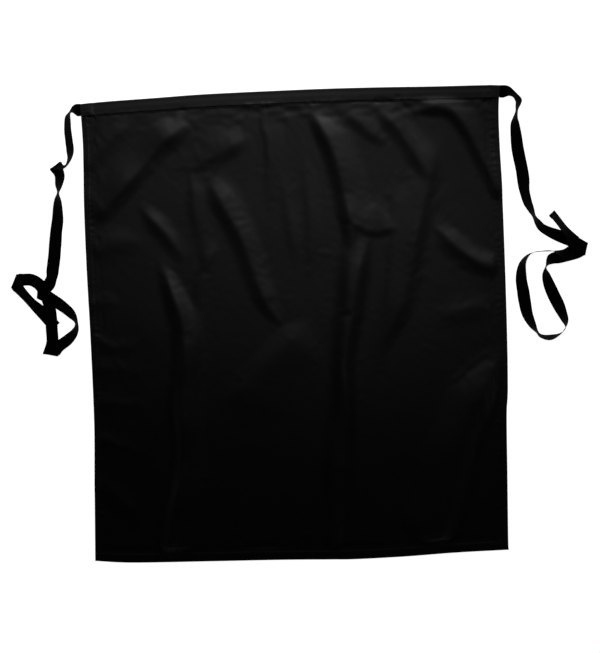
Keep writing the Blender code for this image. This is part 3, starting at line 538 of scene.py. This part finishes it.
def settled(points):
    """The cloth after a moment on the floor, where a little too much cloth for its outline buckles slightly.

    A coarse cloth starts in the creased shape. Its edges are held, and what is between is drawn softly to
    where it was. The finer cloth takes on how far the coarse one moved.
    """
    vs, us = np.linspace(0.0, 1.0, SETTLE_ROWS), np.linspace(0.0, 1.0, SETTLE_COLUMNS)
    start = np.stack([resampled(points[..., k], V_LINES, U_LINES, vs, us) for k in range(3)], axis=-1)
    start[..., 2] += SETTLE_REST
    index = np.arange(SETTLE_ROWS * SETTLE_COLUMNS).reshape(SETTLE_ROWS, SETTLE_COLUMNS)
    corners = [index[:-1, :-1], index[1:, :-1], index[1:, 1:], index[:-1, 1:]]
    mesh = bpy.data.meshes.new("settling")
    mesh.from_pydata(start.reshape(-1, 3).tolist(), [], np.stack(corners, axis=-1).reshape(-1, 4).tolist())
    sheet = bpy.data.objects.new("settling", mesh)
    bpy.context.scene.collection.objects.link(sheet)
    edge = np.minimum(from_edge(us, WIDTH)[None, :], from_edge(vs, HEIGHT)[:, None])
    hold = SETTLE_HOLD + (1.0 - SETTLE_HOLD) * (1.0 - smoothstep((edge - 0.012) / 0.02))
    group = sheet.vertex_groups.new(name="hold")
    for place, weight in enumerate(hold.ravel().tolist()):
        group.add([place], weight, "REPLACE")
    cloth = sheet.modifiers.new("cloth", "CLOTH").settings
    cloth.quality = 5
    cloth.mass = 0.02
    cloth.tension_stiffness = cloth.compression_stiffness = 20.0
    cloth.shear_stiffness = 8.0
    cloth.bending_stiffness = 0.5
    cloth.air_damping = 3.0
    cloth.vertex_group_mass = "hold"
    cloth.pin_stiffness = SETTLE_PULL
    cloth.shrink_min = cloth.shrink_max = -SETTLE_SPARE
    sheet.modifiers["cloth"].collision_settings.distance_min = SETTLE_REST
    sheet.modifiers["cloth"].collision_settings.use_self_collision = False

    ground = bpy.data.meshes.new("ground")
    ground.from_pydata([(-1, -1, 0), (1, -1, 0), (1, 1, 0), (-1, 1, 0)], [], [(0, 1, 2, 3)])
    floor = bpy.data.objects.new("ground", ground)
    bpy.context.scene.collection.objects.link(floor)
    floor.modifiers.new("collision", "COLLISION")
    floor.collision.thickness_outer = 0.001
    for step in range(1, SETTLE_FRAMES + 1):
        bpy.context.scene.frame_set(step)
    shape = sheet.evaluated_get(bpy.context.evaluated_depsgraph_get()).to_mesh()
    ended = np.empty(len(shape.vertices) * 3, np.float32)
    shape.vertices.foreach_get("co", ended)
    moved = ended.reshape(start.shape) - start
    bpy.context.scene.frame_set(1)
    for obj in (sheet, floor):
        bpy.data.objects.remove(obj)
    moved = np.stack([resampled(moved[..., k], vs, us, V_LINES, U_LINES) for k in range(3)], axis=-1)
    out = points.copy()
    out[..., :2] += moved[..., :2]
    out[..., 2] = np.maximum(points[..., 2] + softened(moved[..., 2], 3), 0.0)
    return out


def from_edge(lines, length):
    across = lines * length
    return np.minimum(across, length - across)


def panel_rest():
    """Height of the panel's underside without creases: it climbs onto the hems and the waistband's back."""
    over_side = 1.0 - smoothstep((from_edge(U_LINES, WIDTH) - SIDE_HEM) / HEM_CLIMB)
    down = V_LINES * HEIGHT
    over_band = 1.0 - smoothstep((down - BAND_HEIGHT) / BAND_CLIMB)
    over_bottom = smoothstep((down - (HEIGHT - BOTTOM_HEM - HEM_CLIMB)) / HEM_CLIMB)
    ends = np.maximum(over_band, over_bottom)
    return PLY * np.maximum(ends[:, None], over_side[None, :])


def band_front_rest():
    """Height of the front ply's underside: it climbs over the ties' tails."""
    rise = 1.0 - smoothstep((from_edge(U_LINES, WIDTH) - TIE_TAIL) / TAIL_CLIMB)
    return 2 * PLY + (TIE_CLOTH + GAP) * rise


def raised(points, height):
    out = points.copy()
    out[..., 2] += height
    return out


def link(name, points, faces, material, weave=None):
    mesh = bpy.data.meshes.new(name)
    mesh.from_pydata(points.tolist(), [], faces)
    mesh.materials.append(material)
    if weave is not None:
        layer = mesh.attributes.new("weave", "FLOAT_VECTOR", "POINT")
        layer.data.foreach_set("vector", np.asarray(weave, np.float32).ravel())
    build = bmesh.new()
    build.from_mesh(mesh)
    bmesh.ops.recalc_face_normals(build, faces=build.faces)
    build.to_mesh(mesh)
    build.free()
    mesh.shade_smooth()
    mesh.set_sharp_from_angle(angle=math.radians(50))
    obj = bpy.data.objects.new(name, mesh)
    bpy.context.scene.collection.objects.link(obj)
    return obj


def solid_between(name, under, over, material, weave):
    """A closed sheet between two grids of points, with its weave's coordinates in metres."""
    rows, cols = under.shape[:2]
    top = rows * cols
    index = np.arange(top).reshape(rows, cols)
    a, b, c, d = index[:-1, :-1], index[1:, :-1], index[1:, 1:], index[:-1, 1:]
    quads = np.stack([a, b, c, d], axis=-1).reshape(-1, 4)
    rim = np.concatenate([index[:, 0], index[-1, 1:], index[-2::-1, -1], index[0, -2:0:-1]])
    after = np.roll(rim, -1)
    sides = np.stack([rim, after, after + top, rim + top], axis=-1)
    faces = np.concatenate([quads + top, quads[:, ::-1], sides]).tolist()
    points = np.concatenate([under.reshape(-1, 3), over.reshape(-1, 3)])
    flat = np.concatenate([weave.reshape(-1, 2), weave.reshape(-1, 2)])
    flat = np.concatenate([flat, np.zeros((len(flat), 1))], axis=1)
    return link(name, points, faces, material, flat)


def weave_of(rows, cols):
    """Weave coordinates of part of the cloth's grid."""
    down, across = np.meshgrid(V_LINES[rows] * HEIGHT, U_LINES[cols] * WIDTH, indexing="ij")
    return np.stack([across, down], axis=-1)


ALL = slice(None)
TURN_REACH = 0.35  # the waistband's fold reaches one to two such shares of the way from stitches to edge


def ply(name, points, rest, rows, cols, material):
    """One ply of part of the cloth's grid, raised by its rest height."""
    part = points[rows, cols]
    weave = weave_of(rows, cols)
    return solid_between(name, raised(part, rest), raised(part, rest + CLOTH), material, weave)


def make_waistband(points, front_rest, material):
    """One strip folded over the panel's top edge: front ply, turn, back ply."""
    inner, outer, weave = [], [], []
    across = U_LINES * WIDTH
    rows = range(V_BAND, V_TOP - 1, -1)
    half = (front_rest - CLOTH) / 2.0
    middle = front_rest - half
    length = 0.0
    for i in rows:
        inner.append(raised(points[i], front_rest))
        outer.append(raised(points[i], front_rest + CLOTH))
        weave.append(np.stack([across, np.full_like(across, -V_LINES[i] * HEIGHT)], axis=-1))
    for degrees in (75, 50, 25, 0, -25, -50, -75):
        up, back = math.sin(math.radians(degrees)), math.cos(math.radians(degrees))
        for side, radius in ((inner, half), (outer, half + CLOTH)):
            turn = points[V_TOP] + (points[0] - points[V_TOP]) * (TURN_REACH + TURN_REACH * back)
            turn[:, 1] += radius * back * 0.5
            turn[:, 2] += middle + radius * up
            side.append(turn)
        weave.append(np.stack([across, np.full_like(across, 0.001 * (90 - degrees) / 90)], axis=-1))
    for i in reversed(rows):
        inner.append(raised(points[i], CLOTH))
        outer.append(raised(points[i], 0.0))
        weave.append(np.stack([across, np.full_like(across, 0.003 + V_LINES[i] * HEIGHT)], axis=-1))
    return solid_between("waistband_cloth", np.array(inner), np.array(outer), material, np.array(weave))


# ---------------------------------------------------------------- stitches

STITCH_STATIONS = np.array([-0.5, -0.42, -0.2, 0.0, 0.2, 0.42, 0.5])  # along a stitch, as shares of it
STITCH_GIRTH = np.array([0.35, 0.8, 1.0, 1.0, 1.0, 0.8, 0.35])
STITCH_LIFT = np.array([-0.7, 0.1, 0.55, 0.65, 0.55, 0.1, -0.7])  # dips into the cloth at its two ends
STITCH_SIDES = 6
STITCH_STRAY = 0.00012  # how far a stitch strays along its row


def stitch_row(name, line, surface, material, seed):
    """Separate lockstitches along a line on the cloth, as one mesh. `surface` is the way out of the cloth."""
    draw = random.Random(seed)
    along = np.concatenate([[0.0], np.cumsum(np.linalg.norm(np.diff(line, axis=0), axis=1))])
    count = int((along[-1] - 0.001) / STITCH_PITCH)
    inset = (along[-1] - (count - 1) * STITCH_PITCH) / 2.0
    surface = np.array(surface) / np.linalg.norm(surface)
    turn = np.linspace(0.0, 2.0 * math.pi, STITCH_SIDES, endpoint=False)
    points, faces, weave = [], [], []
    for number in range(count):
        middle = inset + number * STITCH_PITCH + draw.uniform(-STITCH_STRAY, STITCH_STRAY)
        length = STITCH_LENGTH * draw.uniform(0.93, 1.04)
        slant = draw.uniform(0.02, 0.10)
        places = middle + STITCH_STATIONS * length
        centre = np.stack([np.interp(places, along, line[:, k]) for k in range(3)], axis=1)
        forward = centre[-1] - centre[0]
        forward /= np.linalg.norm(forward)
        sideways = np.cross(surface, forward)
        centre = centre + sideways * (STITCH_STATIONS * length * slant)[:, None]
        centre = centre + surface * (STITCH_LIFT * THREAD_RADIUS)[:, None]
        girth = (STITCH_GIRTH * THREAD_RADIUS)[:, None, None]
        ring = np.cos(turn)[None, :, None] * sideways + np.sin(turn)[None, :, None] * surface
        first = len(points) * len(STITCH_STATIONS) * STITCH_SIDES
        points.append(centre[:, None, :] + girth * ring)
        twist = places[:, None] + 0.0 * turn[None, :]
        weave.append(np.stack([twist, turn[None, :] * THREAD_RADIUS + 0.0 * twist, 0.0 * twist], axis=-1))
        for k in range(len(STITCH_STATIONS) - 1):
            for j in range(STITCH_SIDES):
                near, far = first + k * STITCH_SIDES, first + (k + 1) * STITCH_SIDES
                after = (j + 1) % STITCH_SIDES
                faces.append((near + j, near + after, far + after, far + j))
        last = first + (len(STITCH_STATIONS) - 1) * STITCH_SIDES
        faces.append(tuple(range(first + STITCH_SIDES - 1, first - 1, -1)))
        faces.append(tuple(range(last, last + STITCH_SIDES)))
    return link(name, np.array(points).reshape(-1, 3), faces, material, np.array(weave).reshape(-1, 3))


def pulled_in(line, distance):
    """The part of a line that is at least this far from both of its ends."""
    along = np.concatenate([[0.0], np.cumsum(np.linalg.norm(np.diff(line, axis=0), axis=1))])
    inside = np.linspace(distance, along[-1] - distance, len(line))
    return np.stack([np.interp(inside, along, line[:, k]) for k in range(3)], axis=1)


def make_cloth_stitches(points, rest, front_rest, material):
    """Two rows along the waistband, one at each of its ends, and one along each hem."""
    on_band = raised(points, front_rest + CLOTH)
    on_panel = raised(points, rest + CLOTH)
    body = slice(V_BAND + 1, V_HEM_ROW + 1)
    rows = {
        "waistband_top": on_band[V_TOP, U_END : len(U_LINES) - U_END],
        "waistband_seam": on_band[V_SEAM, U_END : len(U_LINES) - U_END],
        "left_band_end": pulled_in(on_band[V_TOP : V_SEAM + 1, U_END], 0.0015),
        "right_band_end": pulled_in(on_band[V_TOP : V_SEAM + 1, -U_END - 1], 0.0015),
        "left_side_hem": on_panel[body, U_HEM_ROW],
        "right_side_hem": on_panel[body, -U_HEM_ROW - 1],
        "bottom_hem": on_panel[V_HEM_ROW, U_HEM_ROW : len(U_LINES) - U_HEM_ROW],
    }
    made = []
    for seed, (name, line) in enumerate(rows.items()):
        row = stitch_row(f"{name}_stitches", line, (0.0, 0.0, 1.0), material, 60 + seed)
        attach(row, "apron")
        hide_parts(f"{name}_stitching")
        made.append(row)
    return made


# ---------------------------------------------------------------- ties

def route_stations(route):
    """Place, height of the lower edge, direction across, tilt, half-width, and whether it is in a fold."""
    plan = np.array([mark[1:3] for mark in route])
    stations = []
    across = None
    for k, (kind, x, y, tilt, lift, *crease_direction) in enumerate(route):
        here = np.array([x, y])
        ahead = plan[min(k + 1, len(plan) - 1)] - here
        behind = here - plan[max(k - 1, 0)]
        ahead = behind if k == len(plan) - 1 else ahead
        behind = ahead if k == 0 else behind
        ahead, behind = ahead / np.linalg.norm(ahead), behind / np.linalg.norm(behind)
        if kind == "fold":
            yaw, half = math.radians(crease_direction[0]), TIE_WIDTH / 2
            half /= abs(behind[0] * math.sin(yaw) - behind[1] * math.cos(yaw))
            shifts = ((-behind, 0.0), (0 * behind, FOLD_RADIUS), (ahead, 2 * FOLD_RADIUS))
            places = [(here + FOLD_REACH * shift, up + lift, math.radians(tilt), half)
                      for shift, up in shifts]
        else:
            forward = ahead + behind
            if k and route[k - 1][0] == "fold":
                forward = ahead + behind * 0.5
            yaw = math.atan2(forward[0], -forward[1])
            places = [(here, lift, math.radians(tilt), TIE_WIDTH / 2)]
        if across is not None:
            yaw += math.pi * round((across - yaw) / math.pi)
        across = yaw
        for place, up, tilt_here, half in places:
            stations.append([place[0], place[1], up, yaw, tilt_here, half, kind == "fold"])
    return stations


TAPE_SWAY = 0.012  # how unevenly wide the tape is, as a share
TAPE_SHARES = np.array([-1.0, -0.97, -0.90, -0.6, -0.3, 0.0, 0.3, 0.6, 0.90, 0.97, 1.0])  # of its half-width
TAPE_BULK = np.array([0.55, 1.0, 1.0, 0.85, 0.85, 0.85, 0.85, 0.85, 1.0, 1.0, 0.55])  # of its thickness there


def tape_rows(route):
    """Fine rows along a tie: centre, direction across, half-width and the tape's face."""
    stations = np.array(route_stations(route), float)
    keys, folds = stations[:, :6], stations[:, 6] > 0
    substeps = 24
    fine = curve_through(keys, substeps)
    rows = [fine[0]]
    for k in range(len(keys) - 1):
        length = np.linalg.norm(keys[k + 1, :3] - keys[k, :3])
        count = 4 if folds[k] and folds[k + 1] else max(2, round(length / TIE_CELL))
        rows += [fine[round(substeps * (k + n / count))] for n in range(1, count + 1)]
    rows = np.array(rows)
    yaw, tilt, half = rows[:, 3], rows[:, 4], rows[:, 5]
    height = np.maximum(rows[:, 2], 0.0) + half * abs(np.sin(tilt)) + TIE_CLOTH / 2 + FLOOR_CLEARANCE
    centre = np.stack([rows[:, 0], rows[:, 1], height], axis=1)
    across = np.stack([np.cos(yaw) * np.cos(tilt), np.sin(yaw) * np.cos(tilt), np.sin(tilt)], axis=1)
    forward = np.gradient(centre, axis=0)
    face = np.cross(forward, across)
    face /= np.linalg.norm(face, axis=1)[:, None]
    return centre, across, half, face


def make_tie_end(side, under, over, along, materials):
    """The turned end of a tie on the tape's under face, and its row of stitches."""
    if under[-1, 5, 2] > over[-1, 5, 2]:
        under, over = over, under
    first = int(np.searchsorted(along, along[-1] - TIE_HEM))
    surface = over[first:] - under[first:]
    surface /= np.linalg.norm(surface, axis=-1, keepdims=True)
    face = under[first:] - surface * GAP
    turned = face - surface * TIE_CLOTH
    flat = np.meshgrid(along[first:], TAPE_SHARES * TIE_WIDTH / 2, indexing="ij")
    hem = solid_between(f"{side}_tie_end_turn", turned, face, materials["tape"], np.stack(flat, axis=-1))
    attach(hem, f"{side}_tie")
    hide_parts(f"{side}_tie_end_hem")
    share = (along[-1] - TIE_HEM + STITCH_INSET - along[first]) / (along[first + 1] - along[first])
    row = over[first] + share * (over[first + 1] - over[first])
    stitches = stitch_row(f"{side}_tie_end_stitches", pulled_in(row, 0.0012), surface[0, 5],
                          materials["thread"], 80 + len(side))
    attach(stitches, f"{side}_tie")
    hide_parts(f"{side}_tie_end_stitching")
    return [hem, stitches]


def make_tie(side, route, points, materials):
    """One tie, and its tail, which runs from the tape's first row into the waistband."""
    centre, across, half, face = tape_rows(route)
    along = np.concatenate([[0.0], np.cumsum(np.linalg.norm(np.diff(centre, axis=0), axis=1))])
    flat = np.stack(np.meshgrid(along, TAPE_SHARES * TIE_WIDTH / 2, indexing="ij"), axis=-1)
    sway = 1.0 + TAPE_SWAY * waves(flat, 0.05, 90 + len(side))[..., None] * abs(TAPE_SHARES)[None, :, None]
    middle = centre[:, None, :] + across[:, None, :] * half[:, None, None] * TAPE_SHARES[None, :, None] * sway
    offset = face[:, None, :] * (TIE_CLOTH / 2) * TAPE_BULK[None, :, None]
    under, over = middle - offset, middle + offset
    tie = solid_between(f"{side}_tie_tape", under, over, materials["tape"], flat)
    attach(tie, f"{side}_tie")
    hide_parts(f"{side}_tie")
    end_pieces = make_tie_end(side, under, over, along, materials)

    cols = slice(0, U_TAIL + 1) if side == "left" else slice(-U_TAIL - 1, None)
    inside = points[1:V_BAND, cols]
    # The tail's outer edge is the tape's first row, and from there it runs straight to the waistband's end.
    start = centre[0] - (0.0, 0.0, 2 * PLY + TIE_CLOTH / 2)
    first_row = start + across[0] * np.linspace(half[0], -half[0], len(inside))[:, None]
    first_row = first_row if first_row[0, 1] > first_row[-1, 1] else first_row[::-1]
    at_band = first_row.copy()
    at_band[:, 0] = inside[0, 0 if side == "left" else -1, 0]
    outside = np.stack([first_row, at_band] if side == "left" else [at_band, first_row], axis=1)
    inside = np.concatenate([outside, inside] if side == "left" else [inside, outside], axis=1)
    under, over = raised(inside, 2 * PLY), raised(inside, 2 * PLY + TIE_CLOTH)
    tail = solid_between(f"{side}_tail_in_band", under, over, materials["tape"], inside[..., :2])
    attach(tail, "apron")
    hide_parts(f"{side}_tie_tail")


def main():
    make_camera()
    make_light()
    make_floor()
    materials = make_materials()
    points = cloth_points()
    points = settled(points)
    rest = panel_rest()
    front_rest = band_front_rest()

    body_rows = slice(V_ALLOWANCE, None)
    panel = ply("apron_panel", points, rest[body_rows], body_rows, ALL, materials["cloth"])
    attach(panel, "apron")
    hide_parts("panel")

    hem_rows = slice(V_BAND, V_HEM)
    hems = {
        "left_side_hem": (hem_rows, slice(0, U_HEM + 1)),
        "right_side_hem": (hem_rows, slice(-U_HEM - 1, None)),
        "bottom_hem": (slice(V_HEM, None), ALL),
    }
    for name, (rows, cols) in hems.items():
        hem = ply(f"{name}_turn", points, 0.0, rows, cols, materials["cloth"])
        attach(hem, "apron")
        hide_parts(name)

    band = make_waistband(points, front_rest, materials["band"])
    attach(band, "apron")
    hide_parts("waistband")
    rows = make_cloth_stitches(points, rest, front_rest, materials["thread"])

    make_tie("left", LEFT_TIE, points, materials)
    make_tie("right", RIGHT_TIE, points, materials)
    for name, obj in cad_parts.items():
        slot = "thread" if "stitching" in name else "tape" if "tie" in name else "cloth"
        obj.data.materials.clear()
        obj.data.materials.append(materials[slot])


main()
